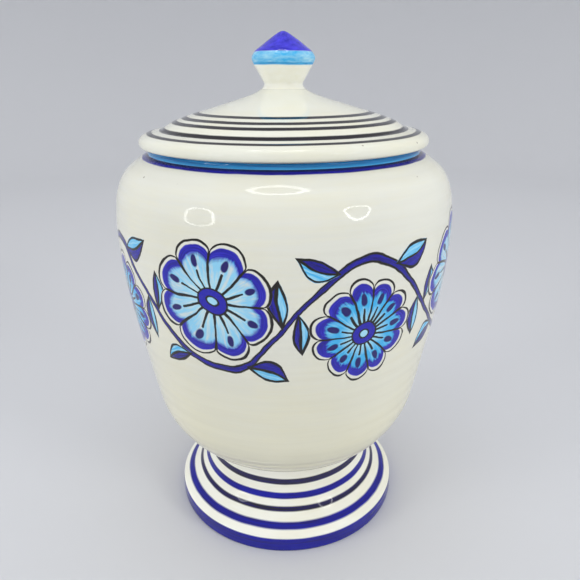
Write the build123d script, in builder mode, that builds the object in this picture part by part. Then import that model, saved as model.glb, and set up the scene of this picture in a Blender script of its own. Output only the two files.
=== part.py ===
from build123d import *
from math import atan2, cos, radians, sin, tan
import os

# Lidded canister on a trumpet foot, in glazed earthenware, in millimetres and degrees.
# +Z is up, and the origin is the centre of the foot ring on the table.
# Each piece is thrown by itself: the jar is luted to its foot, the knob to its lid,
# and the lid drops loose into the neck.

# Foot: a trumpet that flares from the waist to a rounded edge, hollow underneath
foot_height = 45.4
foot_radius = 77.0
foot_edge_height = 10.9
foot_edge_round = 2.6
foot_heel_round = 1.6
foot_ring_width = 9.0
foot_wall = 7.0

# Jar: a bowl that swells from the waist to the belly, then a full shoulder, a sloping collar
# and a short neck; the neck's rise is from the end of the shoulder to the rim
waist_radius = 54.0
belly_radius = 102.6
belly_rise = 156.0
shoulder_rise = 36.2
neck_radius = 81.0
neck_rise = 7.4
rim_round = 1.8
jar_wall = 6.5
floor_thickness = 8.0

# Where the jar's outline changes curve, out and up, as shares of the way from waist to belly
# and, on the shoulder, from neck to belly; the flank ends at a share of the belly's rise,
# and the collar takes up a share of the width from neck to belly
swell_shares = (0.895, 0.628)
flank_end_share = 0.294
shoulder_shares = (0.88, 0.57)
collar_share = 0.324074

# How far along the bowl its inside turns into the cove round the floor
cove_share = 0.55

# Lid: a rolled lip, a brim, a small step and a dome, with a locating ring under the seat
lid_overhang = 4.6
lip_top_round = 4.4
lip_under_round = 2.5
lip_flat = 0.2
brim_width = 13.4
brim_slope = 13.0
brim_step = 0.6
brim_step_width = 0.8
dome_width = 9.4
dome_rise = 4.9
cone_slope = 16.8
lid_wall = 6.0
roof_flat_radius = 9.0
roof_round = 14.0
ring_clearance = 1.5
ring_depth = 12.0
ring_wall = 5.0
ring_round = 1.6

# Knob: a waisted stem under a pointed crown
knob_base_radius = 13.0
knob_base_spread = 7.0
knob_root_slope = 34.0
knob_waist_radius = 11.4
knob_edge_radius = 19.6
knob_edge_rise = 17.3
knob_edge_round = 3.8
knob_rise = 30.9
knob_tip_radius = 5.2
knob_tip_slope = 30.0

# Heights and radii that pieces share, worked up from the table
belly_height = foot_height + belly_rise
shoulder_height = belly_height + shoulder_rise
seat_height = shoulder_height + neck_rise
collar_width = (belly_radius - neck_radius) * collar_share
neck_bore_radius = neck_radius - jar_wall
ring_outer_radius = neck_bore_radius - ring_clearance
ring_inner_radius = ring_outer_radius - ring_wall
lid_radius = neck_radius + lid_overhang
lip_height = lip_under_round + lip_flat + lip_top_round * tan(radians(90 - brim_slope) / 2)
dome_foot_radius = lid_radius - brim_width
brim_top = seat_height + lip_height + brim_width * tan(radians(brim_slope))
dome_turn_radius = dome_foot_radius - brim_step_width - dome_width
dome_turn_height = brim_top + brim_step + dome_rise
cone_top_radius = knob_base_radius + knob_base_spread
cone_top_height = dome_turn_height + (dome_turn_radius - cone_top_radius) * tan(radians(cone_slope))
spread_slope = (knob_root_slope + cone_slope) / 2
knob_base_height = cone_top_height + knob_base_spread * tan(radians(spread_slope))
knob_waist_rise = (knob_base_radius - knob_waist_radius) * tan(radians(90 + knob_root_slope) / 2)
knob_top = knob_base_height + knob_rise


def direction(slope):
    """Unit vector of an outline that climbs outward at this slope in degrees."""
    return Vector(cos(radians(slope)), sin(radians(slope)))


def inset(edge, share, depth):
    """Point this deep to the left of an outline, at a share of its length."""
    along = edge % share
    return edge @ share + Vector(-along.Y, along.X) * depth


# Pedestal foot: one arc outside and one inside, both upright at the waist
with BuildPart() as pedestal_foot:
    with BuildSketch(Plane.XZ):
        with BuildLine():
            flare = TangentArc((waist_radius, foot_height), (foot_radius, foot_edge_height), tangent=(0, -1))
            foot_edge = Line(flare @ 1, (foot_radius, 0))
            stand = Line(foot_edge @ 1, (foot_radius - foot_ring_width, 0))
            hollow = TangentArc((waist_radius - foot_wall, foot_height), stand @ 1, tangent=(0, -1))
            Line(hollow @ 0, flare @ 0)
        make_face()
        fillet(vertices().group_by(Axis.X)[-1].sort_by(Axis.Y)[-1], radius=foot_edge_round)
        heel = vertices().group_by(Axis.Y)[0].sort_by(Axis.X)[-1]
        fillet(heel, radius=min(foot_heel_round, foot_ring_width / 3))
    revolve(axis=Axis.Z)
pedestal_foot.part.label = "pedestal_foot"

# Jar: the outside is a chain of tangent curves from the belly, down to the waist and up to the neck,
# and the inside follows it one wall away
with BuildPart() as jar_body:
    with BuildSketch(Plane.XZ):
        with BuildLine():
            swell_out, swell_up = swell_shares
            swell_end = (
                waist_radius + (belly_radius - waist_radius) * swell_out,
                foot_height + belly_rise * swell_up,
            )
            swell = TangentArc((belly_radius, belly_height), swell_end, tangent=(0, -1))
            flank_drop = belly_rise * (swell_up - flank_end_share)
            flank = Line(swell @ 1, swell @ 1 - (swell % 1) * (flank_drop / (swell % 1).Y))
            bowl = TangentArc(flank @ 1, (waist_radius, foot_height), tangent=flank % 1)
            underside = Line(bowl @ 1, (0, foot_height))

            floor_top = foot_height + floor_thickness
            cove_top = inset(bowl, cove_share, -jar_wall)
            cove_way = bowl % cove_share
            cove_run = (cove_top.Y - floor_top) / tan(atan2(-cove_way.Y, -cove_way.X) / 2)
            axis_line = Line(underside @ 1, (0, floor_top))
            floor = Line(axis_line @ 1, (cove_top.X - cove_run, floor_top))
            cove = TangentArc(floor @ 1, cove_top, tangent=(1, 0))
            inner_bowl = TangentArc(cove @ 1, inset(bowl, 0, -jar_wall), tangent=cove % 1)
            inner_flank = Line(inner_bowl @ 1, inset(flank, 0, -jar_wall))
            inner_swell = TangentArc(
                inner_flank @ 1, (belly_radius - jar_wall, belly_height), tangent=inner_flank % 1
            )

            upper_out, upper_up = shoulder_shares
            upper_end = (
                neck_radius + (belly_radius - neck_radius) * upper_out,
                belly_height + shoulder_rise * upper_up,
            )
            upper = TangentArc(swell @ 0, upper_end, tangent=(0, 1))
            shoulder_end = (neck_radius + collar_width, shoulder_height)
            shoulder = TangentArc(upper @ 1, shoulder_end, tangent=upper % 1)
            collar_way = shoulder % 1
            collar = Line(shoulder @ 1, shoulder @ 1 - collar_way * (collar_width / collar_way.X))
            inner_upper = TangentArc(inner_swell @ 1, inset(upper, 1, jar_wall), tangent=(0, 1))
            inner_shoulder = TangentArc(
                inner_upper @ 1, inset(shoulder, 1, jar_wall), tangent=inner_upper % 1
            )
            ceiling_width = (inner_shoulder @ 1).X - neck_bore_radius
            ceiling = Line(
                inner_shoulder @ 1, inner_shoulder @ 1 - collar_way * (ceiling_width / collar_way.X)
            )

            bore = Line(ceiling @ 1, (neck_bore_radius, seat_height))
            rim = Line(bore @ 1, (neck_radius, seat_height))
            Line(rim @ 1, collar @ 1)
        make_face()
        fillet(vertices().group_by(Axis.Y)[-1], radius=min(rim_round, jar_wall / 3))
    revolve(axis=Axis.Z)
jar_body.part.label = "jar_body"

# Lid: lip, brim, step and dome outside; locating ring, seat and hollow roof inside
with BuildPart() as lid_dome:
    with BuildSketch(Plane.XZ):
        with BuildLine():
            seat = Line((ring_outer_radius, seat_height), (lid_radius, seat_height))
            lip = Line(seat @ 1, (lid_radius, seat_height + lip_height))
            brim = Line(lip @ 1, (dome_foot_radius, brim_top))
            step = Line(brim @ 1, (dome_foot_radius - brim_step_width, brim_top + brim_step))
            dome = TangentArc(
                (dome_turn_radius, dome_turn_height), step @ 1, tangent=direction(-cone_slope)
            )
            cone = Line(dome @ 0, (cone_top_radius, cone_top_height))
            spread = TangentArc(
                cone @ 1, (knob_base_radius, knob_base_height), tangent=direction(180 - cone_slope)
            )
            land = Line(spread @ 1, (0, knob_base_height))
            roof_turn = inset(cone, 0, lid_wall)
            roof_height = roof_turn.Y + (roof_turn.X - roof_flat_radius) * tan(radians(cone_slope))
            roof_foot_height = roof_turn.Y - (ring_inner_radius - roof_turn.X) * tan(radians(cone_slope))
            axis_line = Line(land @ 1, (0, roof_height))
            roof_flat = Line(axis_line @ 1, (roof_flat_radius, roof_height))
            roof = Line(roof_flat @ 1, (ring_inner_radius, roof_foot_height))
            ring_inside = Line(roof @ 1, (ring_inner_radius, seat_height - ring_depth))
            ring_foot = Line(ring_inside @ 1, (ring_outer_radius, seat_height - ring_depth))
            Line(ring_foot @ 1, seat @ 0)
        make_face()
        fillet(vertices().group_by(Axis.Y)[0], radius=min(ring_round, ring_wall / 3))
        fillet(vertices().group_by(Axis.X)[-1].sort_by(Axis.Y)[-1], radius=lip_top_round)
        fillet(vertices().group_by(Axis.X)[-1].sort_by(Axis.Y)[0], radius=lip_under_round)
        fillet(vertices().sort_by_distance(roof @ 1)[0], radius=roof_round)
    revolve(axis=Axis.Z)
lid_dome.part.label = "lid_dome"

# Knob: waisted stem, rounded widest edge and a swelling crown with a small round tip
with BuildPart() as lid_knob:
    with BuildSketch(Plane.XZ):
        with BuildLine():
            tip_angle = radians(knob_tip_slope)
            tip_end = (knob_tip_radius * sin(tip_angle), knob_top - knob_tip_radius * (1 - cos(tip_angle)))
            crown_edge = (knob_edge_radius, knob_base_height + knob_edge_rise)
            tip = TangentArc((0, knob_top), tip_end, tangent=(1, 0))
            crown = TangentArc(tip @ 1, crown_edge, tangent=direction(-knob_tip_slope))
            stem = Line(crown @ 1, (knob_waist_radius, knob_base_height + knob_waist_rise))
            root = TangentArc(stem @ 1, (knob_base_radius, knob_base_height), tangent=(0, -1))
            underside = Line(root @ 1, (0, knob_base_height))
            Line(underside @ 1, tip @ 0)
        make_face()
        fillet(vertices().sort_by(Axis.X)[-1], radius=knob_edge_round)
    revolve(axis=Axis.Z)
lid_knob.part.label = "lid_knob"

os.makedirs("parts", exist_ok=True)
for piece in (pedestal_foot, jar_body, lid_dome, lid_knob):
    export_step(piece.part, f"parts/{piece.part.label}.step")
    print(piece.part.label, "volume", round(piece.part.volume), "box", piece.part.bounding_box().size)
print("seat height", seat_height, "knob base", knob_base_height, "overall height", knob_top)
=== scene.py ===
"""Throws, paints and lights a lidded earthenware canister on a trumpet foot, over its CAD frame."""

from collections import namedtuple
from math import cos, pi, radians, sin

import bmesh
import bpy
from bpy.props import FloatProperty, FloatVectorProperty, PointerProperty
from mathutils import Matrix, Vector, noise
from mathutils.geometry import interpolate_bezier


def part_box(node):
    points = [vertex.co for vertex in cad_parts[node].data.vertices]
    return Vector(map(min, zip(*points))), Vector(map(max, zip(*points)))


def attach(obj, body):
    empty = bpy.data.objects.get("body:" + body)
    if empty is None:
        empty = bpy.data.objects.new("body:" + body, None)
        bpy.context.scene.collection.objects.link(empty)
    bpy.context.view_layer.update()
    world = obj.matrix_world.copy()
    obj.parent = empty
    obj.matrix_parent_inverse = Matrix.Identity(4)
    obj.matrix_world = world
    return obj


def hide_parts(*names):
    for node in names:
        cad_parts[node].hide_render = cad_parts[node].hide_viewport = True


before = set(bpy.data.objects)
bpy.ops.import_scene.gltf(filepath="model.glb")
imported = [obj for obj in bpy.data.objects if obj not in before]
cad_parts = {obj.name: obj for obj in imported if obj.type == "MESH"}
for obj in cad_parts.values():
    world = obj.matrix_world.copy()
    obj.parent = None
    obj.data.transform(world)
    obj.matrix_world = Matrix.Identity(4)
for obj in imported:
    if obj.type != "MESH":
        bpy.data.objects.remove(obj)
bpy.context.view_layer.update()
jar_low, jar_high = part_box("jar_body")

bl_info = {
    "name": "Painted Canister",
    "version": (1, 0, 0),
    "blender": (4, 5, 0),
    "location": "View3D > Sidebar > Canister",
    "description": "Throws, paints and lights a lidded pottery canister over its CAD frame",
    "category": "Add Mesh",
}

MM = 0.001

# A thrown mesh: columns round it, millimetres between rows, fewest rows to a stretch, the least crease,
# and in millimetres, how near the axis a row is one point and how near to each other two points are one
COLUMNS = 240
ROW_SPACING = 1.7
FEWEST_ROWS = 3
CREASE = radians(35)
AXIS_REACH = 0.01
SAME_POINT = 0.001

# The wall's sway from crest to crest, and how far rings and sway take to fade in, in millimetres
SWAY_LENGTH = 38
FADE = 12

# Outlines, in millimetres from the axis and above the bottom of the piece's CAD node, with the finish
# from each point to the next. A smooth point lies on a curve of the clay, and a sharp one ends a flat.
SMOOTH, SHARP = "AUTO", "VECTOR"
PAINTED, PLAIN, BARE = 0, 1, 2
JAR_OUTLINE = (
    (0, 0, SHARP, PLAIN),
    (54, 0, SHARP, PAINTED),
    (64.4, 6.5, SMOOTH, PAINTED),
    (74.7, 16.5, SMOOTH, PAINTED),
    (81.5, 26.5, SMOOTH, PAINTED),
    (85.9, 36.5, SMOOTH, PAINTED),
    (89.2, 51.5, SMOOTH, PAINTED),
    (93.7, 76.5, SMOOTH, PAINTED),
    (97.5, 98, SMOOTH, PAINTED),
    (101.3, 126.5, SMOOTH, PAINTED),
    (102.6, 154.5, SMOOTH, PAINTED),
    (101.9, 166.4, SMOOTH, PAINTED),
    (100, 176.6, SMOOTH, PAINTED),
    (95.6, 185.6, SMOOTH, PAINTED),
    (88, 192.15, SMOOTH, PAINTED),
    (81, 196.05, SHARP, PAINTED),
    (81, 197.8, SMOOTH, PAINTED),
    (80.5, 199, SMOOTH, PLAIN),
    (79.2, 199.55, SHARP, PLAIN),
    (76.3, 199.55, SHARP, PLAIN),
    (75, 199, SMOOTH, PLAIN),
    (74.5, 197.8, SMOOTH, PLAIN),
    (74.5, 195.4, SMOOTH, PLAIN),
    (74.5, 192.3, SHARP, PLAIN),
    (84.8, 186.55, SMOOTH, PLAIN),
    (90.5, 181.7, SMOOTH, PLAIN),
    (93.7, 175, SMOOTH, PLAIN),
    (96.1, 158.5, SMOOTH, PLAIN),
    (93.7, 116.5, SMOOTH, PLAIN),
    (88.9, 86.5, SMOOTH, PLAIN),
    (83.5, 56.5, SMOOTH, PLAIN),
    (80.3, 40.5, SMOOTH, PLAIN),
    (75.1, 28.5, SMOOTH, PLAIN),
    (66.8, 17.5, SMOOTH, PLAIN),
    (55.9, 10.5, SMOOTH, PLAIN),
    (42.9, 8, SHARP, PLAIN),
    (0, 8, SHARP, PLAIN),
)
FOOT_OUTLINE = (
    (47, 45.4, SHARP, PLAIN),
    (54, 45.4, SHARP, PAINTED),
    (56.9, 31.1, SMOOTH, PAINTED),
    (65, 19, SMOOTH, PAINTED),
    (74.6, 12, SMOOTH, PAINTED),
    (76.3, 10.8, SMOOTH, PAINTED),
    (77, 9.1, SMOOTH, PAINTED),
    (77, 5.4, SMOOTH, PAINTED),
    (77, 1.1, SMOOTH, PAINTED),
    (76.7, 0.35, SMOOTH, PAINTED),
    (76, 0, SHARP, BARE),
    (68, 0, SHARP, PLAIN),
    (56.5, 12.9, SMOOTH, PLAIN),
    (49.4, 28.5, SMOOTH, PLAIN),
    (47, 45.4, SHARP, PLAIN),
)
LID_OUTLINE = (
    (0, 36.5, SHARP, PLAIN),
    (9, 36.5, SHARP, PLAIN),
    (52, 23.5, SMOOTH, PLAIN),
    (62.5, 19.4, SMOOTH, PLAIN),
    (66.9, 13.7, SMOOTH, PLAIN),
    (68, 8.3, SMOOTH, PLAIN),
    (68, 1.6, SMOOTH, PLAIN),
    (68.5, 0.5, SMOOTH, PLAIN),
    (69.6, 0, SMOOTH, PLAIN),
    (71.4, 0, SMOOTH, PLAIN),
    (72.5, 0.5, SMOOTH, PLAIN),
    (73, 1.6, SMOOTH, PLAIN),
    (73, 12, SHARP, PLAIN),
    (83.1, 12, SHARP, PAINTED),
    (84.85, 12.75, SMOOTH, PAINTED),
    (85.6, 14.6, SMOOTH, PAINTED),
    (84.8, 17.2, SMOOTH, PAINTED),
    (82.2, 18.95, SMOOTH, PAINTED),
    (72.2, 21.25, SHARP, PAINTED),
    (71.4, 21.85, SHARP, PAINTED),
    (66.9, 24.75, SMOOTH, PAINTED),
    (62, 26.75, SMOOTH, PAINTED),
    (37, 34.3, SMOOTH, PAINTED),
    (20, 39.45, SMOOTH, PAINTED),
    (16.4, 40.85, SMOOTH, PAINTED),
    (13, 42.79, SHARP, PLAIN),
    (0, 42.79, SHARP, PLAIN),
)
KNOB_OUTLINE = (
    (0, 0, SHARP, PLAIN),
    (13, 0, SHARP, PAINTED),
    (11.8, 1.3, SMOOTH, PAINTED),
    (11.4, 3, SMOOTH, PAINTED),
    (12.1, 4.3, SMOOTH, PAINTED),
    (14.8, 8.9, SMOOTH, PAINTED),
    (17.9, 14.3, SMOOTH, PAINTED),
    (18.6, 16.5, SMOOTH, PAINTED),
    (17.6, 19.1, SMOOTH, PAINTED),
    (12.5, 23.5, SMOOTH, PAINTED),
    (5.5, 28.45, SMOOTH, PAINTED),
    (2.6, 30.2, SMOOTH, PAINTED),
    (1.3, 30.74, SMOOTH, PAINTED),
    (0, 30.9, SHARP, PAINTED),
)

# Bands of paint, as (middle, width) in millimetres: by radius on the lid and shoulder, else by height
LID_BANDS = ((51.8, 3.4), (58.8, 3.2), (64.6, 3.0), (71.8, 3.2), (79.2, 2.9))
# The neck band is sky blue painted deeper as shade under the lid
NECK_BAND = ((198.6, 5.2),)
# Painted shadow of the lid: a deeper blue band at the top of the neck
NECK_SHADOW_BAND = ((198.3, 2.6),)
SHOULDER_BAND = ((82.4, 3.8),)
# Painted shade in deep cobalt and navy, in the crease where the neck meets the shoulder
SHOULDER_CREASE_SHADE_BAND = ((81.5, 1.7),)
FOOT_BANDS = ((14.6, 2.6), (27.8, 3.6))
FOOT_DARK_BANDS = ((21.1, 2.4), (36.5, 4.0))
FOOT_RIM_BAND = ((4.2, 11.2),)
KNOB_SKY_BAND = ((16.5, 7.0),)
KNOB_POOL_BAND = ((13.6, 1.2),)
KNOB_CROWN_BAND = ((26.1, 12.4),)
BAND_BLUR = 0.3

# A banding brush: millimetres from stray to stray, hair lines to a radian of the turn, and the values of
# a hair line over which its paint runs dry. A range like this one holds the inputs of its map range node.
STRAY_LENGTH = 28
BAND_HAIRS = 2.2
BAND_WEAR = {"From Min": 0.35, "From Max": 0.7}

# Heights on the jar, in millimetres: the shoulder band as middle and half, then where the wall grows
# warmer and darker towards the bottom, partly thin glaze and partly painted shade, and where painted
# shade in the clay's colour lies under the belly at its joint with the foot, from none to most
SHOULDER_RUN = (194.3, 1.85)
THIN_GLAZE_AND_SHADE_RUN = {"From Min": 121.5, "From Max": 11.5, "To Max": 0.75}
JOINT_SHADE_RUN = {"From Min": 12.5, "From Max": 0.5, "To Max": 0.5}

# Greyer rings round the jar, painted shade of its throwing ridges: millimetres from one to the next, and
# their tint
RIDGE_SPACING = 4.0
RIDGE_SHADE_TINT = {"From Min": 0.35, "From Max": 0.65, "To Max": 0.045}

# The glaze of every piece: millimetres from cloud to cloud, between turning marks, between specks and
# from ripple to ripple, and turning marks to a radian; then how much the marks and ripples count for
CLOUD_LENGTH = 45
TURNING_SPACING = 3
SPECK_SPACING = 16
RIPPLE_LENGTH = 14
TURNING_MARKS = 2.5
TURNING_SHARE = 0.6
RIPPLE_SHARE = 0.5

# Where the glaze lies thin, is specked with iron, is pitted and is duller, and its relief under the light
GLAZE_THIN = {"From Min": 0.7, "From Max": 1.1, "To Max": 0.45}
GLAZE_SPECK = {"From Min": 0.045, "From Max": 0.025, "To Max": 0.8}
GLAZE_PIT = {"From Min": 0.045, "From Max": 0.02, "To Max": -1.0}
GLAZE_ROUGHNESS = {"From Min": 0.35, "From Max": 0.65, "To Min": 0.04, "To Max": 0.07}
GLAZE_RELIEF = {"Distance": 0.25 * MM, "Strength": 0.35}
GLAZE_IOR = 1.5

# Bare clay: the size of its grit in millimetres, how dark and light that is, and its relief
GRIT_SIZE = 1.2
GRIT_SHADE = {"From Min": 0.3, "From Max": 0.7, "To Min": 0.72, "To Max": 1.08}
GRIT_RELIEF = {"Distance": 0.3 * MM, "Strength": 0.7}
CLAY_ROUGHNESS = 0.85

# The frieze: flowers round the belly, each in a bend of one running vine, in millimetres on the wall.
# The first flower lies this share of a cell to the left of the front.
FLOWERS = 8
WALL_RADIUS = jar_high.x / MM
CELL = 2 * pi * WALL_RADIUS / FLOWERS
FIRST_FLOWER = 0.45
FLOWER_LIFT = 9.0
VINE_SWING = 30.0

# The painter's hand: how far it drifts and shakes, over what length, and how its pressure thins a line
DRIFT, DRIFT_LENGTH = 9, 40
SHAKE, SHAKE_LENGTH = 1.6, 8
PRESS_LENGTH = 13
PRESSURE = {"From Min": 0.3, "From Max": 0.7, "To Min": 0.8, "To Max": 1.5}

# Petals: their count, and how many more and how much shorter they are on every other flower; then the
# share of their reach that is lobed, and the power that rounds the lobes
PETALS, MORE_PETALS = 8, 3
ODD_SHRINK = 3.0
PETAL_LOBE = 0.2
LOBE_POWER = 0.5

# Colours in from a petal's edge, and out from the middle of the eye, by millimetres, with both ends
# first, and where the eye ends
WASH_REACH = 26.0
PETAL_WASH = (
    (0.0, "cobalt"),
    (WASH_REACH, "pale_sky"),
    (6.5, "cobalt"),
    (8.0, "sky"),
    (13.0, "sky"),
    (20.0, "pale_sky"),
)
EYE_REACH = 10.0
EYE_RINGS = (
    (0.0, "pale_sky"),
    (EYE_REACH, "ink"),
    (2.0, "pale_sky"),
    (2.4, "ink"),
    (3.0, "ink"),
    (3.4, "cobalt"),
    (6.6, "cobalt"),
    (7.0, "ink"),
)
EYE_COVER = {"From Min": 8.0, "From Max": 7.6}

# Brush marks on the petals: hair lines across a petal and to a millimetre of its border, how ragged the
# wash ends in millimetres, and how thin every other flower is washed
PETAL_HAIRS = 7.0
BORDER_HAIRS = 1.3
PETAL_RAGGED = 7.0
THIN_WASH = 0.7
PETAL_WEAR = {"From Min": 0.52, "From Max": 0.72, "To Max": 0.75}
PETAL_GAPS = {"From Min": 0.46, "From Max": 0.62}
BORDER_POOL = {"From Min": 0.5, "From Max": 0.3, "To Max": 0.8}
BORDER_WEAR = {"From Min": 0.52, "From Max": 0.72, "To Max": 0.6}

# In from a petal's edge, in millimetres: where its bare margin ends, its border gives way and its rib
# ends, and the drop on its rib, with its half width, half length, place and soft edge
MARGIN_FADE = {"From Min": 2.5, "From Max": 2.0}
BORDER_FADE = {"From Min": 6.0, "From Max": 9.0}
RIB_END = {"From Min": 15.0, "From Max": 13.0, "To Max": 4.0}
DROP_WIDTH, DROP_LENGTH, DROP_PLACE = 1.9, 3.2, 10.5
DROP_FADE = {"From Min": 1.1, "From Max": 0.85}

# The vine and its leaves: hair lines to a millimetre along a stroke, how the paint runs dry, how far
# from its middle the vine is lined and ends, how far past its ends a leaf is worked out, and the fade
# at its rib
STROKE_HAIRS = 0.06
VINE_WEAR = {"From Min": 0.35, "From Max": 0.65}
VINE_LINED = {"From Min": 1.0, "From Max": 1.4}
VINE_COVER = {"From Min": 2.6, "From Max": 2.2}
LEAF_WEAR = {"From Min": 0.35, "From Max": 0.68}
LEAF_REACH = {"Min": -0.12, "Max": 1.12}
LEAF_RIB = {"From Min": -0.5, "From Max": 0.5}
Leaf = namedtuple("Leaf", "root lean length width bow")
LEAVES = (
    Leaf((15, -26), -22, 24, 11, 2.0),
    Leaf((-17, -24), 205, 22, 10, -2.0),
    Leaf((36, -3), 93, 25, 9, 1.5),
    Leaf((-36, -3), 86, 22, 8, -1.5),
)

# Manganese lines, in millimetres from their middle to where they start and end fading
INK_CORE = 0.55
INK_EDGE = 0.95

# The floor sweeps up all round into a pale backdrop of paper, in metres
SWEEP_RADIUS = 1.4
SWEEP_ROUND = 0.6
SWEEP_HEIGHT = 1.35
SWEEP_STEPS = 16
SWEEP_COLUMNS = 128
PAPER_ROUGHNESS = 0.9

# The studio: what its light gives the pot and what a lens or the glaze sees of it, then its lamps as
# name, place and width in metres, power in watts, and the share of the width that is dark. A full lamp
# gives soft light that no glaze mirrors, and a ring only its glint on the glaze. All aim at the pot.
STUDIO_LIGHT, STUDIO_STRENGTH, STUDIO_SEEN = "DADBDD", 1.58, "B4B5B9"
LAMPS = (
    ("left_lamp", (-0.97, -0.47, 0.4), 0.42, 0.45, 0),
    ("right_lamp", (0.87, -0.61, 0.45), 0.36, 0.44, 0),
    ("left_ring", (-0.84, -0.64, 0.46), 0.38, 0.32, 0.84),
    ("right_ring", (0.74, -0.68, 0.62), 0.34, 0.29, 0.84),
    ("top_ring", (-0.05, -0.17, 1.23), 0.5, 0.46, 0.72),
)
LAMP_SPREAD = radians(60)
LAMP_AIM = Vector((0, 0, 0.15))
RING_BLUR = 0.005

# The camera, as the photograph was taken: close, and a little to the right of the axis
CAMERA_PLACE = (0.0038, -0.3465, 0.2841)
CAMERA_TURN = (68.7, 0.3, 0.0)
CAMERA_LENS = 34.47
CAMERA_NEAR = 0.01


def linear(hex_colour):
    """Linear red, green and blue of an sRGB hex colour."""
    channels = (int(hex_colour[i : i + 2], 16) / 255 for i in (0, 2, 4))
    return tuple(c / 12.92 if c <= 0.04045 else ((c + 0.055) / 1.055) ** 2.4 for c in channels)


def colour_property(name, hex_colour, description):
    """A colour that a user can change, with its sRGB hex default."""
    default = linear(hex_colour)
    return FloatVectorProperty(
        name=name, description=description, subtype="COLOR", size=3, min=0, max=1, default=default
    )


def length_property(name, default, description):
    """A length that a user can change, with its default in metres."""
    return FloatProperty(
        name=name, description=description, default=default, min=0, precision=5, unit="LENGTH"
    )


class CanisterSizes(bpy.types.PropertyGroup):
    """Sizes of the throwing marks and of the brushwork."""

    ring_pitch: length_property("Ring pitch", 8.5 * MM, "Climb of the throwing ring in one turn")
    ring_depth: length_property("Ring depth", 0.07 * MM, "Depth of the throwing ring outside")
    inner_ring_depth: length_property(
        "Inner ring depth", 0.24 * MM, "Depth of the ring that fingers leave inside"
    )
    sway: length_property("Sway", 0.3 * MM, "How far the wall strays inward from true")
    frieze_height: length_property(
        "Frieze height", 0.628 * (jar_high.z - jar_low.z), "Middle of the frieze above the waist"
    )
    flower_radius: length_property("Flower radius", 0.32 * jar_high.x, "Reach of a flower's petals")


class CanisterColours(bpy.types.PropertyGroup):
    """Colours of the glaze, the pigments, the clay and the floor."""

    # Painted light and shade: one tin glaze, whiter on the foot and knob, greyer on the lid and the wall
    white: colour_property("White glaze", "F7F7EC", "Tin glaze on the foot and the knob")
    lid_white: colour_property("Lid glaze", "EAEADC", "Tin glaze on the lid")
    wall_white: colour_property("Wall glaze", "E4E4D8", "Tin glaze on the wall of the jar")
    # Also laid towards the bottom of the jar's wall, partly as painted shade
    thin_white: colour_property("Thin glaze", "E8E3C3", "Tin glaze where it lies thin over the clay")
    cobalt: colour_property("Cobalt", "211EAB", "Cobalt from a loaded brush")
    deep_cobalt: colour_property("Deep cobalt", "1A1464", "Cobalt where it pools")
    ultramarine: colour_property("Ultramarine", "0F15A2", "Bluer cobalt on the foot")
    violet: colour_property("Violet cobalt", "4840E4", "Cobalt where it lies thin, as on the knob")
    sky: colour_property("Sky blue", "3FB3EB", "Light blue from a loaded brush")
    # On the neck, cerulean is sky blue darkened as painted shade under the lid
    cerulean: colour_property("Cerulean", "2B93D3", "Deeper blue round the neck")
    # Painted shadow of the lid on the top of the neck
    lid_shadow_blue: colour_property("Deep cerulean", "0C5C98", "Blue that pools under the lid")
    pale_sky: colour_property("Pale sky", "A5DDF3", "Light blue where the brush runs dry")
    ink: colour_property("Outline", "1A1712", "Manganese outline")
    navy: colour_property("Navy", "23202E", "Dark bands on the lid and the foot")
    # Iron tints the glaze's specks, and also the jar's rings as painted shade of its ridges
    iron: colour_property("Iron", "8F8470", "Iron that bleeds through the glaze, in specks and on ridges")
    # Bare clay, and also the colour of the painted shade under the jar's belly at its joint
    clay: colour_property("Bare clay", "C9A88A", "Fired clay where the glaze is wiped off")
    floor: colour_property("Floor", "D0D1D4", "Pale floor and backdrop")


MATH, VECTOR = "ShaderNodeMath", "ShaderNodeVectorMath"
MIX, RANGE = "ShaderNodeMix", "ShaderNodeMapRange"
NOISE, RAMP, BUMP = "ShaderNodeTexNoise", "ShaderNodeValToRGB", "ShaderNodeBump"
SPLIT, JOIN = "ShaderNodeSeparateXYZ", "ShaderNodeCombineXYZ"
GLOSS = "ShaderNodeBsdfPrincipled"


def node(tree, kind, inputs=None, stops=None, **settings):
    """Adds a node with its settings, ramp stops and inputs, each a value, a socket or a node."""
    added = tree.nodes.new(kind)
    for name, value in settings.items():
        setattr(added, name, value)
    for index, (position, colour) in enumerate(stops or ()):
        elements = added.color_ramp.elements
        stop = elements[index] if index < 2 else elements.new(position)
        stop.position = position
        stop.color = (*colour, 1)
    for key, value in (inputs or {}).items():
        if isinstance(key, str):
            key = next(i for i, s in enumerate(added.inputs) if s.enabled and s.name == key)
        if isinstance(value, bpy.types.Node):
            value = next(s for s in value.outputs if s.enabled)
        if isinstance(value, bpy.types.NodeSocket):
            tree.links.new(value, added.inputs[key])
        else:
            added.inputs[key].default_value = value
    return added


def empty_tree(owner):
    """The node tree of a material, world or lamp, with nothing in it."""
    owner.use_nodes = True
    owner.node_tree.nodes.clear()
    return owner.node_tree


Wheel = namedtuple("Wheel", "place radius height turn")


def wheel_place(tree):
    """Where a point of a piece is: place, radius and height in millimetres, and turn from the front."""
    spot = node(tree, "ShaderNodeTexCoord").outputs["Object"]
    place = node(tree, VECTOR, {0: spot, 1: (1 / MM,) * 3}, operation="MULTIPLY")
    flat = node(tree, VECTOR, {0: place, 1: (1, 1, 0)}, operation="MULTIPLY")
    radius = node(tree, VECTOR, {0: flat}, operation="LENGTH").outputs["Value"]
    axes = node(tree, SPLIT, {"Vector": place}).outputs
    toward = node(tree, MATH, {0: axes["Y"], 1: -1.0}, operation="MULTIPLY")
    turn = node(tree, MATH, {0: axes["X"], 1: toward}, operation="ARCTAN2")
    return Wheel(place, radius, axes["Z"], turn)


def rgba(colour):
    """A colour for a node's socket."""
    return (*colour, 1)


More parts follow.
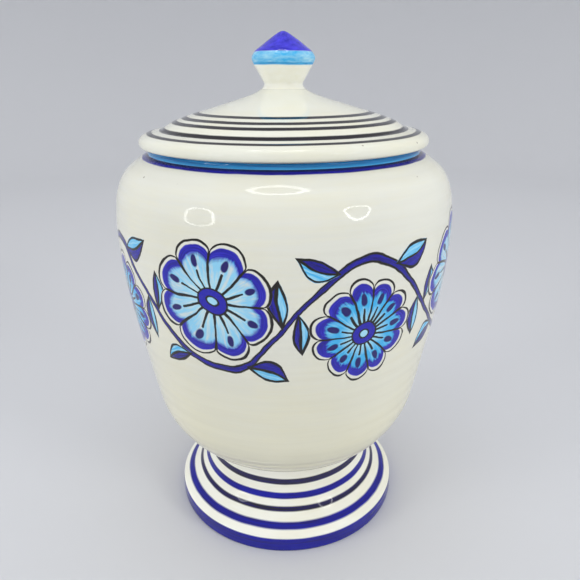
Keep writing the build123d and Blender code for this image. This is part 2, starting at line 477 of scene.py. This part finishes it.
def lay(tree, ground, colour, cover):
    """Paint laid over a ground where its cover is 1."""
    return node(tree, MIX, {"Factor": cover, "A": ground, "B": colour}, data_type="RGBA")


def hair_lines(tree, across, along, seed=0.0):
    """Streaks that a brush's hairs leave, from 0 to 1: close across the stroke and long along it."""
    lines = node(tree, JOIN, {"X": across, "Y": along, "Z": seed})
    return node(tree, NOISE, {"Vector": lines, "Scale": 1.0, "Detail": 3.0, "Roughness": 0.6})


def bands(tree, wheel, ground, along, places, loaded, dry, stray=0.8, hairs=1.4):
    """Bands painted with a loaded brush while the pot turns, at places of (middle, width) along a run.

    They stray from true by this many millimetres, and the brush leaves this many hair lines to one."""
    shake = node(tree, NOISE, {"Vector": wheel.place, "Scale": 1 / STRAY_LENGTH, "Detail": 2.0})
    drift = node(tree, MATH, {0: shake, 1: 2 * stray, 2: -stray}, operation="MULTIPLY_ADD")
    strayed = node(tree, MATH, {0: along, 1: drift}, operation="ADD")
    low = min(middle - width for middle, width in places)
    high = max(middle + width for middle, width in places)
    share = node(tree, RANGE, {"Value": strayed, "From Min": low, "From Max": high})
    stops = [(0.0, (0, 0, 0)), (1.0, (0, 0, 0))]
    for middle, width in places:
        for side in (-1, 1):
            for level, blur in ((0, BAND_BLUR), (1, -BAND_BLUR)):
                edge = middle + side * (width / 2 + blur)
                stops.append(((edge - low) / (high - low), (level, level, level)))
    cover = node(tree, RAMP, {"Fac": share}, stops=stops)
    across = node(tree, MATH, {0: along, 1: hairs}, operation="MULTIPLY")
    around = node(tree, MATH, {0: wheel.turn, 1: BAND_HAIRS}, operation="MULTIPLY")
    streaks = hair_lines(tree, across, around, places[0][0])
    worn = node(tree, RANGE, {"Value": streaks, **BAND_WEAR})
    return lay(tree, ground, lay(tree, rgba(loaded), rgba(dry), worn), cover)


def ink_lines(tree, body, distance, pressure, colours):
    """Manganese lines drawn on a body where this distance is small, thinner where pressure is high."""
    pressed = node(tree, MATH, {0: distance, 1: pressure}, operation="MULTIPLY")
    fade = {"Value": pressed, "From Min": INK_EDGE, "From Max": INK_CORE}
    return lay(tree, body, rgba(colours.ink), node(tree, RANGE, fade, interpolation_type="SMOOTHSTEP"))


def cut_out(tree, ground, body, depth):
    """A body laid on its ground as far as the outer edge of its outline."""
    fade = {"Value": depth, "From Min": -INK_EDGE, "From Max": -INK_CORE}
    return lay(tree, ground, body, node(tree, RANGE, fade, interpolation_type="SMOOTHSTEP"))


def leaf(tree, ground, spot, shape, pressure, colours):
    """A pointed leaf, cobalt and sky blue on either side of its rib, outlined in manganese."""
    placed = {
        "Vector": spot,
        "Location": (*shape.root, 0),
        "Rotation": (0, 0, radians(shape.lean)),
        "Scale": (shape.length, 1, 1),
    }
    own = node(tree, "ShaderNodeMapping", placed, vector_type="TEXTURE")
    axes = node(tree, SPLIT, {"Vector": own}).outputs
    along = node(tree, "ShaderNodeClamp", {"Value": axes["X"], **LEAF_REACH})
    phase = node(tree, MATH, {0: along, 1: pi}, operation="MULTIPLY")
    swell = node(tree, MATH, {0: phase}, operation="SINE")
    aside = node(tree, MATH, {0: swell, 1: -shape.bow, 2: axes["Y"]}, operation="MULTIPLY_ADD")
    from_rib = node(tree, MATH, {0: aside}, operation="ABSOLUTE")
    half = node(tree, MATH, {0: swell, 1: shape.width / 2}, operation="MULTIPLY")
    depth = node(tree, MATH, {0: half, 1: from_rib}, operation="SUBTRACT")
    from_rim = node(tree, MATH, {0: depth}, operation="ABSOLUTE")
    nearest = node(tree, MATH, {0: from_rim, 1: from_rib}, operation="MINIMUM")

    streaks = hair_lines(tree, axes["Y"], axes["X"], shape.lean)
    dry = node(tree, RANGE, {"Value": streaks, **LEAF_WEAR})
    sky = lay(tree, rgba(colours.sky), rgba(colours.pale_sky), dry)
    cobalt = lay(tree, rgba(colours.deep_cobalt), rgba(colours.cobalt), dry)
    shaded = node(tree, RANGE, {"Value": aside, **LEAF_RIB})
    body = lay(tree, sky, cobalt, shaded)
    return cut_out(tree, ground, ink_lines(tree, body, nearest, pressure, colours), depth)


def vine(tree, ground, x, y, colours):
    """The running stem: a cobalt stroke between manganese lines, under one flower and over the next."""
    phase = node(tree, MATH, {0: x, 1: pi / CELL}, operation="MULTIPLY")
    swing = node(tree, MATH, {0: phase}, operation="COSINE")
    off = node(tree, MATH, {0: swing, 1: VINE_SWING, 2: y}, operation="MULTIPLY_ADD")
    apart = node(tree, MATH, {0: off}, operation="ABSOLUTE")
    along = node(tree, MATH, {0: x, 1: STROKE_HAIRS}, operation="MULTIPLY")
    worn = node(tree, RANGE, {"Value": hair_lines(tree, off, along), **VINE_WEAR})
    stroke = lay(tree, rgba(colours.deep_cobalt), rgba(colours.cobalt), worn)
    lined = node(tree, RANGE, {"Value": apart, **VINE_LINED})
    cover = node(tree, RANGE, {"Value": apart, **VINE_COVER})
    return lay(tree, ground, lay(tree, stroke, rgba(colours.ink), lined), cover)


Petal = namedtuple("Petal", "count out depth from_rib from_seam")


def petal_place(tree, x, y, cell, odd, radius):
    """Where a point of a flower is: petals counted round it, and millimetres out from the eye, in from
    the petals' edge, and off the rib and the seam of its petal."""
    up = node(tree, MATH, {0: y, 1: FLOWER_LIFT}, operation="SUBTRACT")
    spoke = node(tree, JOIN, {"X": x, "Y": up})
    out = node(tree, VECTOR, {0: spoke}, operation="LENGTH").outputs["Value"]
    turn = node(tree, MATH, {0: up, 1: x}, operation="ARCTAN2")
    turns = node(tree, MATH, {0: turn, 1: 1 / (2 * pi)}, operation="MULTIPLY")
    counts = {0: odd, 1: float(MORE_PETALS), 2: float(PETALS)}
    petals = node(tree, MATH, counts, operation="MULTIPLY_ADD")
    random = node(tree, "ShaderNodeTexWhiteNoise", {"W": cell}, noise_dimensions="1D")
    chance = random.outputs["Value"]
    count = node(tree, MATH, {0: turns, 1: petals, 2: chance}, operation="MULTIPLY_ADD")
    off_rib = node(tree, MATH, {0: count, 1: 0.5}, operation="PINGPONG")
    off_seam = node(tree, MATH, {0: 0.5, 1: off_rib}, operation="SUBTRACT")
    phase = node(tree, MATH, {0: off_rib, 1: pi}, operation="MULTIPLY")
    lobe = node(tree, MATH, {0: phase}, operation="COSINE")
    rounded = node(tree, MATH, {0: lobe, 1: LOBE_POWER}, operation="POWER")
    lobed = {0: rounded, 1: PETAL_LOBE, 2: 1 - PETAL_LOBE}
    share = node(tree, MATH, lobed, operation="MULTIPLY_ADD")
    reach = node(tree, MATH, {0: odd, 1: -ODD_SHRINK, 2: radius}, operation="MULTIPLY_ADD")
    edge = node(tree, MATH, {0: share, 1: reach}, operation="MULTIPLY")
    depth = node(tree, MATH, {0: edge, 1: out}, operation="SUBTRACT")
    round_way = node(tree, MATH, {0: out, 1: 2 * pi}, operation="MULTIPLY")
    petal_way = node(tree, MATH, {0: round_way, 1: petals}, operation="DIVIDE")
    from_rib = node(tree, MATH, {0: off_rib, 1: petal_way}, operation="MULTIPLY")
    from_seam = node(tree, MATH, {0: off_seam, 1: petal_way}, operation="MULTIPLY")
    return Petal(count, out, depth, from_rib, from_seam)


def petal_wash(tree, petal, cell, odd, colours):
    """The petals' colour in from their edge: a bare margin, a cobalt border, then sky blue running dry.

    The border ends raggedly where the hairs lift, and every other flower is washed thin, with gaps."""
    across = node(tree, MATH, {0: petal.count, 1: PETAL_HAIRS}, operation="MULTIPLY")
    inward = node(tree, MATH, {0: petal.out, 1: STROKE_HAIRS}, operation="MULTIPLY")
    streaks = hair_lines(tree, across, inward, cell)
    fray = {0: streaks, 1: PETAL_RAGGED, 2: -PETAL_RAGGED / 2}
    ragged = node(tree, MATH, fray, operation="MULTIPLY_ADD")
    washed = node(tree, MATH, {0: petal.depth, 1: ragged}, operation="ADD")
    level = node(tree, RANGE, {"Value": washed, "From Min": 0.0, "From Max": WASH_REACH})
    stops = [(at / WASH_REACH, getattr(colours, name)) for at, name in PETAL_WASH]
    wash = node(tree, RAMP, {"Fac": level}, stops=stops)

    dry = node(tree, RANGE, {"Value": streaks, **PETAL_WEAR})
    rich = lay(tree, wash, rgba(colours.pale_sky), dry)
    gap = node(tree, RANGE, {"Value": streaks, **PETAL_GAPS})
    gapped = lay(tree, rgba(colours.pale_sky), rgba(colours.wall_white), gap)
    thinner = node(tree, MATH, {0: odd, 1: -THIN_WASH, 2: THIN_WASH}, operation="MULTIPLY_ADD")
    middle = lay(tree, rich, gapped, thinner)

    edge_across = node(tree, MATH, {0: petal.depth, 1: BORDER_HAIRS}, operation="MULTIPLY")
    edge_streaks = hair_lines(tree, edge_across, petal.count, cell)
    pooled = node(tree, RANGE, {"Value": edge_streaks, **BORDER_POOL})
    worn = node(tree, RANGE, {"Value": edge_streaks, **BORDER_WEAR})
    darker = lay(tree, wash, rgba(colours.deep_cobalt), pooled)
    border = lay(tree, darker, rgba(colours.violet), worn)
    inside = node(tree, RANGE, {"Value": petal.depth, **BORDER_FADE})
    margin = node(tree, RANGE, {"Value": petal.depth, **MARGIN_FADE})
    return lay(tree, lay(tree, border, middle, inside), rgba(colours.wall_white), margin)


def flower_eye(tree, ground, out, colours):
    """The eye of a flower: a pale dot in a cobalt ring, with manganese round both."""
    level = node(tree, RANGE, {"Value": out, "From Min": 0.0, "From Max": EYE_REACH})
    stops = [(at / EYE_REACH, getattr(colours, name)) for at, name in EYE_RINGS]
    cover = node(tree, RANGE, {"Value": out, **EYE_COVER})
    return lay(tree, ground, node(tree, RAMP, {"Fac": level}, stops=stops), cover)


def flower(tree, ground, petal, cell, odd, pressure, colours):
    """An open flower: washed petals with a drop and a short line on each rib, round an eye."""
    wash = petal_wash(tree, petal, cell, odd, colours)
    drop_x = node(tree, MATH, {0: petal.from_rib, 1: 1 / DROP_WIDTH}, operation="MULTIPLY")
    inward = {0: petal.depth, 1: 1 / DROP_LENGTH, 2: -DROP_PLACE / DROP_LENGTH}
    drop_y = node(tree, MATH, inward, operation="MULTIPLY_ADD")
    drop_spot = node(tree, JOIN, {"X": drop_x, "Y": drop_y})
    drop_size = node(tree, VECTOR, {0: drop_spot}, operation="LENGTH").outputs["Value"]
    drop = node(tree, RANGE, {"Value": drop_size, **DROP_FADE})
    dropped = lay(tree, wash, rgba(colours.deep_cobalt), drop)

    from_edge = node(tree, MATH, {0: petal.depth}, operation="ABSOLUTE")
    outline = node(tree, MATH, {0: from_edge, 1: petal.from_seam}, operation="MINIMUM")
    rib_end = node(tree, RANGE, {"Value": petal.depth, **RIB_END})
    rib = node(tree, MATH, {0: petal.from_rib, 1: rib_end}, operation="ADD")
    nearest = node(tree, MATH, {0: outline, 1: rib}, operation="MINIMUM")
    inked = ink_lines(tree, dropped, nearest, pressure, colours)
    return cut_out(tree, ground, flower_eye(tree, inked, petal.out, colours), petal.depth)


def frieze(tree, wheel, ground, sizes, colours):
    """Flowers round the belly in the bends of a running vine, each drawn a little differently."""
    slow = node(tree, NOISE, {"Vector": wheel.place, "Scale": 1 / DRIFT_LENGTH, "Detail": 1.0})
    quick = node(tree, NOISE, {"Vector": wheel.place, "Scale": 1 / SHAKE_LENGTH, "Detail": 2.0})
    drift = {0: slow.outputs["Color"], 1: (DRIFT,) * 3, 2: wheel.place}
    drifted = node(tree, VECTOR, drift, operation="MULTIPLY_ADD")
    shake = {0: quick.outputs["Color"], 1: (SHAKE,) * 3, 2: drifted}
    shaken = node(tree, VECTOR, shake, operation="MULTIPLY_ADD")
    centred = node(tree, VECTOR, {0: shaken, 1: ((DRIFT + SHAKE) / 2,) * 3}, operation="SUBTRACT")
    axes = node(tree, SPLIT, {"Vector": centred}).outputs
    toward = node(tree, MATH, {0: axes["Y"], 1: -1.0}, operation="MULTIPLY")
    turn = node(tree, MATH, {0: axes["X"], 1: toward}, operation="ARCTAN2")
    unrolled = {0: turn, 1: WALL_RADIUS, 2: FIRST_FLOWER * CELL}
    along = node(tree, MATH, unrolled, operation="MULTIPLY_ADD")
    cells = node(tree, MATH, {0: along, 1: CELL}, operation="DIVIDE")
    index = node(tree, MATH, {0: cells}, operation="ROUND")
    x = node(tree, MATH, {0: index, 1: -CELL, 2: along}, operation="MULTIPLY_ADD")
    cell = node(tree, MATH, {0: index, 1: float(FLOWERS)}, operation="FLOORED_MODULO")
    odd = node(tree, MATH, {0: index, 1: 2.0}, operation="FLOORED_MODULO")
    flip = node(tree, MATH, {0: odd, 1: -2.0, 2: 1.0}, operation="MULTIPLY_ADD")
    rise = node(tree, MATH, {0: axes["Z"], 1: sizes.frieze_height / MM}, operation="SUBTRACT")
    y = node(tree, MATH, {0: rise, 1: flip}, operation="MULTIPLY")
    spot = node(tree, JOIN, {"X": x, "Y": y})

    press = node(tree, NOISE, {"Vector": wheel.place, "Scale": 1 / PRESS_LENGTH, "Detail": 1.0})
    pressure = node(tree, RANGE, {"Value": press, **PRESSURE})
    painted = vine(tree, ground, x, y, colours)
    for shape in LEAVES:
        painted = leaf(tree, painted, spot, shape, pressure, colours)
    petal = petal_place(tree, x, y, cell, odd, sizes.flower_radius / MM)
    return flower(tree, painted, petal, cell, odd, pressure, colours)


def glazed(name, paint, white):
    """Tin-glazed earthenware, dipped and fired glossy, with its brushwork in the glaze over this white.

    The eye sees a deep wet gloss that ripples a little over the thrown clay, an ivory white that is
    warmer where it lies thin, and a few iron specks and pinholes."""
    colours = bpy.context.scene.canister_colours
    material = bpy.data.materials.new(name)
    tree = empty_tree(material)
    wheel = wheel_place(tree)
    cloud = node(tree, NOISE, {"Vector": wheel.place, "Scale": 1 / CLOUD_LENGTH, "Detail": 3.0})
    across = node(tree, MATH, {0: wheel.height, 1: 1 / TURNING_SPACING}, operation="MULTIPLY")
    around = node(tree, MATH, {0: wheel.turn, 1: TURNING_MARKS}, operation="MULTIPLY")
    turning = hair_lines(tree, across, around)
    uneven = node(tree, MATH, {0: turning, 1: TURNING_SHARE, 2: cloud}, operation="MULTIPLY_ADD")
    thin = node(tree, RANGE, {"Value": uneven, **GLAZE_THIN})
    ground = lay(tree, rgba(white), rgba(colours.thin_white), thin)
    spots = node(tree, "ShaderNodeTexVoronoi", {"Vector": wheel.place, "Scale": 1 / SPECK_SPACING})
    holes = spots.outputs["Distance"]
    speck = node(tree, RANGE, {"Value": holes, **GLAZE_SPECK})
    painted = paint(tree, wheel, lay(tree, ground, rgba(colours.iron), speck))

    ripple = node(tree, NOISE, {"Vector": wheel.place, "Scale": 1 / RIPPLE_LENGTH, "Detail": 2.0})
    pit = node(tree, RANGE, {"Value": holes, **GLAZE_PIT})
    height = node(tree, MATH, {0: ripple, 1: RIPPLE_SHARE, 2: pit}, operation="MULTIPLY_ADD")
    bump = node(tree, BUMP, {"Height": height, **GLAZE_RELIEF})
    dull = node(tree, RANGE, {"Value": cloud, **GLAZE_ROUGHNESS})
    skin = {"Base Color": painted, "Roughness": dull, "IOR": GLAZE_IOR, "Normal": bump}
    node(tree, "ShaderNodeOutputMaterial", {"Surface": node(tree, GLOSS, skin)})
    return material


def plain_glaze():
    """The jar's white glaze with no brushwork, for the inside and the underside of the pieces."""
    name, white = "tin_glaze_plain", bpy.context.scene.canister_colours.wall_white
    return bpy.data.materials.get(name) or glazed(name, lambda tree, wheel, ground: ground, white)


def bare_clay():
    """Fired earthenware with its glaze wiped off: matt, sandy, and a warm buff with darker grog."""
    colours = bpy.context.scene.canister_colours
    material = bpy.data.materials.new("bare_earthenware")
    tree = empty_tree(material)
    wheel = wheel_place(tree)
    grit = node(tree, NOISE, {"Vector": wheel.place, "Scale": 1 / GRIT_SIZE, "Detail": 4.0})
    grog = node(tree, RANGE, {"Value": grit, **GRIT_SHADE})
    tint = {"Factor": 1.0, "A": rgba(colours.clay), "B": grog}
    shade = node(tree, MIX, tint, data_type="RGBA", blend_type="MULTIPLY")
    bump = node(tree, BUMP, {"Height": grit, **GRIT_RELIEF})
    skin = node(tree, GLOSS, {"Base Color": shade, "Roughness": CLAY_ROUGHNESS, "Normal": bump})
    node(tree, "ShaderNodeOutputMaterial", {"Surface": skin})
    return material


def outline_rows(outline):
    """Rows along an outline, evenly spaced on its curve: (radius, height, finish) in metres."""
    curve = bpy.data.curves.new("outline", "CURVE")
    knots = curve.splines.new("BEZIER").bezier_points
    knots.add(len(outline) - 1)
    for knot, (radius, height, corner, _) in zip(knots, outline):
        knot.co = (radius * MM, 0, height * MM)
        knot.handle_left_type = knot.handle_right_type = corner
    rows = []
    for start, end, (*_, finish) in zip(knots, knots[1:], outline):
        steps = max(FEWEST_ROWS, round((end.co - start.co).length / (ROW_SPACING * MM)))
        run = interpolate_bezier(start.co, start.handle_right, end.handle_left, end.co, steps + 1)
        rows += [(max(p.x, 0), p.z, finish) for p in run[:-1]]
    rows.append((knots[-1].co.x, knots[-1].co.z, outline[-1][3]))
    bpy.data.curves.remove(curve)
    return rows


def throw(name, node_name, outline, finishes):
    """Throws a piece from its outline, on the place of its CAD node: a mesh of revolution with throwing
    rings, and with a slight sway in its painted wall, both cut inward from the outline."""
    sizes = bpy.context.scene.canister_sizes
    rows = outline_rows(outline)
    lengths = [0.0]
    for (r0, z0, _), (r1, z1, _) in zip(rows, rows[1:]):
        lengths.append(lengths[-1] + Vector((r1 - r0, z1 - z0)).length)
    depths = {PAINTED: sizes.ring_depth, PLAIN: sizes.inner_ring_depth, BARE: 0}
    stretches = {}
    for length, (*_, finish) in zip(lengths, rows):
        stretches.setdefault(finish, []).append(length)

    bm = bmesh.new()
    rings = []
    for (radius, height, finish), length in zip(rows, lengths):
        if radius < AXIS_REACH * MM:
            rings.append([bm.verts.new((0, 0, height))] * COLUMNS)
            continue
        others = (at for other, stretch in stretches.items() if other != finish for at in stretch)
        strength = min(1, min(abs(length - at) for at in others) / (FADE * MM))
        ring = []
        for column in range(COLUMNS):
            turn = 2 * pi * column / COLUMNS
            outward = Vector((sin(turn), -cos(turn), 0))
            spot = outward * radius + Vector((0, 0, height))
            cut = depths[finish] * (1 - sin(2 * pi * height / sizes.ring_pitch + turn)) / 2
            if finish == PAINTED:
                cut += sizes.sway * (1 - noise.noise(spot / (SWAY_LENGTH * MM))) / 2
            ring.append(bm.verts.new(spot - outward * cut * strength))
        rings.append(ring)

    uv = bm.loops.layers.uv.new("OFBake")
    for row in range(len(rows) - 1):
        for column in range(COLUMNS):
            following = (column + 1) % COLUMNS
            corners = (
                (rings[row][column], column, row),
                (rings[row][following], column + 1, row),
                (rings[row + 1][following], column + 1, row + 1),
                (rings[row + 1][column], column, row + 1),
            )
            kept = [c for i, c in enumerate(corners) if c[0] not in [d[0] for d in corners[:i]]]
            face = bm.faces.new([c[0] for c in kept])
            face.material_index = rows[row][2]
            face.smooth = True
            for loop, (_, along, up) in zip(face.loops, kept):
                loop[uv].uv = (along / COLUMNS, lengths[up] / lengths[-1])
    bmesh.ops.remove_doubles(bm, verts=bm.verts, dist=SAME_POINT * MM)
    bmesh.ops.recalc_face_normals(bm, faces=bm.faces)
    for edge in bm.edges:
        edge.smooth = edge.calc_face_angle(0) < CREASE
    mesh = bpy.data.meshes.new(name)
    bm.to_mesh(mesh)
    bm.free()
    for finish in finishes:
        mesh.materials.append(finish)
    piece = bpy.data.objects.new(name, mesh)
    piece.location.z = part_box(node_name)[0].z
    bpy.context.scene.collection.objects.link(piece)
    return piece


class CANISTER_OT_throw_jar(bpy.types.Operator):
    """Throws the jar, paints its neck, shoulder and frieze, and glazes it"""

    bl_idname = "canister.throw_jar"
    bl_label = "Throw jar"

    def execute(self, context):
        sizes, colours = context.scene.canister_sizes, context.scene.canister_colours

        def brushwork(tree, wheel, ground):
            # Warmer and darker towards the bottom: partly thin glaze, partly painted shade
            thin = node(tree, RANGE, {"Value": wheel.height, **THIN_GLAZE_AND_SHADE_RUN})
            thinned_and_shaded = lay(tree, ground, rgba(colours.thin_white), thin)
            # Painted shade in clay colour under the belly, where it meets the foot
            joint_shade = node(tree, RANGE, {"Value": wheel.height, **JOINT_SHADE_RUN})
            joint_shaded = lay(tree, thinned_and_shaded, rgba(colours.clay), joint_shade)
            # Greyer rings painted as the shade of the throwing ridges
            across = node(tree, MATH, {0: wheel.height, 1: 1 / RIDGE_SPACING}, operation="MULTIPLY")
            ridge_shade_streaks = hair_lines(tree, across, wheel.turn)
            tint = node(tree, RANGE, {"Value": ridge_shade_streaks, **RIDGE_SHADE_TINT})
            ridge_shaded = lay(tree, joint_shaded, rgba(colours.iron), tint)
            painted = frieze(tree, wheel, ridge_shaded, sizes, colours)
            sky, blue, deep = colours.sky, colours.cerulean, colours.lid_shadow_blue
            # The neck band: sky blue painted deeper as the lid's shade
            necked = bands(tree, wheel, painted, wheel.height, NECK_BAND, blue, sky, stray=0.2)
            # Painted shadow of the lid at the top of the neck
            pooled = bands(tree, wheel, necked, wheel.height, NECK_SHADOW_BAND, deep, blue, stray=0.2)
            blue, deep, navy = colours.cobalt, colours.deep_cobalt, colours.navy
            ringed = bands(tree, wheel, pooled, wheel.radius, SHOULDER_BAND, blue, deep)
            # A darker ring in the neck's crease, as painted shade
            crease_shaded = bands(tree, wheel, ringed, wheel.radius, SHOULDER_CREASE_SHADE_BAND, deep, navy, stray=0.3)
            middle, half = SHOULDER_RUN
            shoulder = node(tree, MATH, {0: wheel.height, 1: middle, 2: half}, operation="COMPARE")
            return lay(tree, pooled, crease_shaded, shoulder)

        finishes = (glazed("tin_glaze_jar_brushwork", brushwork, colours.wall_white), plain_glaze())
        jar = throw("thrown_jar", "jar_body", JAR_OUTLINE, finishes)
        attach(jar, "jar")
        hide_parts("jar_body")
        return {"FINISHED"}


class CANISTER_OT_throw_foot(bpy.types.Operator):
    """Throws the trumpet foot, bands it in blue and navy, and wipes its ring bare"""

    bl_idname = "canister.throw_foot"
    bl_label = "Throw foot"

    def execute(self, context):
        colours = context.scene.canister_colours

        def brushwork(tree, wheel, ground):
            blue, deep, navy = colours.ultramarine, colours.deep_cobalt, colours.navy
            banded = bands(tree, wheel, ground, wheel.height, FOOT_BANDS, blue, deep, stray=0.4)
            darker = bands(tree, wheel, banded, wheel.height, FOOT_DARK_BANDS, navy, deep, stray=0.4)
            return bands(tree, wheel, darker, wheel.height, FOOT_RIM_BAND, blue, deep, stray=0.3)

        skin = glazed("tin_glaze_foot_bands", brushwork, colours.white)
        finishes = (skin, plain_glaze(), bare_clay())
        foot = throw("trumpet_foot", "pedestal_foot", FOOT_OUTLINE, finishes)
        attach(foot, "jar")
        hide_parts("pedestal_foot")
        return {"FINISHED"}


class CANISTER_OT_throw_lid(bpy.types.Operator):
    """Throws the domed lid with its locating ring, and bands it in thin navy"""

    bl_idname = "canister.throw_lid"
    bl_label = "Throw lid"

    def execute(self, context):
        colours = context.scene.canister_colours

        def brushwork(tree, wheel, ground):
            navy, ink = colours.navy, colours.ink
            return bands(tree, wheel, ground, wheel.radius, LID_BANDS, navy, ink, stray=0.4)

        finishes = (glazed("tin_glaze_lid_bands", brushwork, colours.lid_white), plain_glaze())
        lid = throw("domed_lid", "lid_dome", LID_OUTLINE, finishes)
        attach(lid, "lid")
        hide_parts("lid_dome")
        return {"FINISHED"}


class CANISTER_OT_throw_knob(bpy.types.Operator):
    """Throws the pointed knob, with its cobalt crown over a sky-blue band"""

    bl_idname = "canister.throw_knob"
    bl_label = "Throw knob"

    def execute(self, context):
        colours = context.scene.canister_colours

        def brushwork(tree, wheel, ground):
            height, pale, sky = wheel.height, colours.pale_sky, colours.sky
            violet, blue = colours.violet, colours.cobalt
            banded = bands(tree, wheel, ground, height, KNOB_SKY_BAND, sky, pale, hairs=0.4)
            pooled = bands(tree, wheel, banded, height, KNOB_POOL_BAND, colours.cerulean, sky)
            return bands(tree, wheel, pooled, height, KNOB_CROWN_BAND, violet, blue, hairs=0.4)

        finishes = (glazed("tin_glaze_knob_crown", brushwork, colours.white), plain_glaze())
        knob = throw("pointed_knob", "lid_knob", KNOB_OUTLINE, finishes)
        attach(knob, "lid")
        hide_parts("lid_knob")
        return {"FINISHED"}


def sweep_floor(scene):
    """A round floor that sweeps up into its backdrop, in matt paper: soft shadows and no shine."""
    run = [(0, 0), (SWEEP_RADIUS, 0)]
    for step in range(1, SWEEP_STEPS + 1):
        turn = pi / 2 * step / SWEEP_STEPS
        run.append((SWEEP_RADIUS + SWEEP_ROUND * sin(turn), SWEEP_ROUND * (1 - cos(turn))))
    run.append((SWEEP_RADIUS + SWEEP_ROUND, SWEEP_HEIGHT))
    bm = bmesh.new()
    verts = [bm.verts.new((radius, 0, height)) for radius, height in run]
    edges = [bm.edges.new(pair) for pair in zip(verts, verts[1:])]
    bmesh.ops.spin(
        bm,
        geom=verts + edges,
        axis=(0, 0, 1),
        cent=(0, 0, 0),
        steps=SWEEP_COLUMNS,
        angle=2 * pi,
        use_merge=True,
    )
    bmesh.ops.remove_doubles(bm, verts=bm.verts, dist=MM)
    for face in bm.faces:
        face.smooth = True
    mesh = bpy.data.meshes.new("floor")
    bm.to_mesh(mesh)
    bm.free()
    paper = bpy.data.materials.new("matt_backdrop_paper")
    tree = empty_tree(paper)
    pale = rgba(scene.canister_colours.floor)
    skin = node(tree, GLOSS, {"Base Color": pale, "Roughness": PAPER_ROUGHNESS})
    node(tree, "ShaderNodeOutputMaterial", {"Surface": skin})
    mesh.materials.append(paper)
    floor = bpy.data.objects.new("floor", mesh)
    scene.collection.objects.link(floor)


def studio_world(scene):
    """Even light from a white studio, which a lens and the glaze see as a plain grey backdrop."""
    world = bpy.data.worlds.new("studio")
    tree = empty_tree(world)
    light = {"Color": rgba(linear(STUDIO_LIGHT)), "Strength": STUDIO_STRENGTH}
    lit = node(tree, "ShaderNodeBackground", light)
    seen = node(tree, "ShaderNodeBackground", {"Color": rgba(linear(STUDIO_SEEN))})
    path = node(tree, "ShaderNodeLightPath").outputs
    mirrored = {0: path["Is Glossy Ray"], 1: path["Is Transmission Ray"]}
    shown = {0: path["Is Camera Ray"], 1: node(tree, MATH, mirrored, operation="MAXIMUM")}
    share = node(tree, MATH, shown, operation="MAXIMUM")
    sky = node(tree, "ShaderNodeMixShader", {0: share, 1: lit, 2: seen})
    node(tree, "ShaderNodeOutputWorld", {"Surface": sky})
    scene.world = world


def round_lamp(scene, name, place, size, power, dark):
    """A round lamp: a full disc of soft light, or a ring where this share of its width is dark."""
    light = bpy.data.lights.new(name, "AREA")
    light.shape = "DISK"
    light.size = size
    light.energy = power
    light.spread = LAMP_SPREAD
    tree = empty_tree(light)
    face = node(tree, "ShaderNodeNewGeometry").outputs["Parametric"]
    spoke = node(tree, VECTOR, {0: face, 1: (0.5, 0.5, 0)}, operation="SUBTRACT")
    out = node(tree, VECTOR, {0: spoke}, operation="LENGTH").outputs["Value"]
    glow = {"Value": out, "From Min": dark / 2 - RING_BLUR, "From Max": dark / 2 + RING_BLUR}
    lit = node(tree, "ShaderNodeEmission", {"Strength": node(tree, RANGE, glow)})
    node(tree, "ShaderNodeOutputLight", {"Surface": lit})
    lamp = bpy.data.objects.new(name, light)
    lamp.location = place
    lamp.rotation_euler = (LAMP_AIM - Vector(place)).to_track_quat("-Z", "Y").to_euler()
    lamp.visible_camera = False
    lamp.visible_glossy = dark > 0
    lamp.visible_diffuse = dark == 0
    scene.collection.objects.link(lamp)


class CANISTER_OT_set_stage(bpy.types.Operator):
    """Lays the pale floor, hangs the soft lamps and sets the camera where the photograph was taken"""

    bl_idname = "canister.set_stage"
    bl_label = "Set stage"

    def execute(self, context):
        scene = context.scene
        scene.view_settings.view_transform = "Standard"
        sweep_floor(scene)
        studio_world(scene)
        for lamp in LAMPS:
            round_lamp(scene, *lamp)
        lens = bpy.data.cameras.new("camera")
        lens.lens = CAMERA_LENS
        lens.clip_start = CAMERA_NEAR
        camera = bpy.data.objects.new("camera", lens)
        camera.location = CAMERA_PLACE
        camera.rotation_euler = [radians(turn) for turn in CAMERA_TURN]
        scene.collection.objects.link(camera)
        scene.camera = camera
        return {"FINISHED"}


OPERATORS = (
    CANISTER_OT_throw_jar,
    CANISTER_OT_throw_foot,
    CANISTER_OT_throw_lid,
    CANISTER_OT_throw_knob,
    CANISTER_OT_set_stage,
)


class CANISTER_PT_sidebar(bpy.types.Panel):
    """Lists the steps of the pot and what a user may change"""

    bl_idname = "CANISTER_PT_sidebar"
    bl_label = "Canister"
    bl_space_type = "VIEW_3D"
    bl_region_type = "UI"
    bl_category = "Canister"

    def draw(self, context):
        for operator in OPERATORS:
            self.layout.operator(operator.bl_idname)
        for group in (context.scene.canister_sizes, context.scene.canister_colours):
            for name in group.__annotations__:
                self.layout.prop(group, name)


CLASSES = (CanisterSizes, CanisterColours, *OPERATORS, CANISTER_PT_sidebar)


def register():
    for cls in CLASSES:
        bpy.utils.register_class(cls)
    bpy.types.Scene.canister_sizes = PointerProperty(type=CanisterSizes)
    bpy.types.Scene.canister_colours = PointerProperty(type=CanisterColours)


def unregister():
    del bpy.types.Scene.canister_colours
    del bpy.types.Scene.canister_sizes
    for cls in reversed(CLASSES):
        bpy.utils.unregister_class(cls)


def main():
    register()
    bpy.ops.canister.throw_jar()
    bpy.ops.canister.throw_foot()
    bpy.ops.canister.throw_lid()
    bpy.ops.canister.throw_knob()
    bpy.ops.canister.set_stage()


if __name__ == "__main__":
    main()
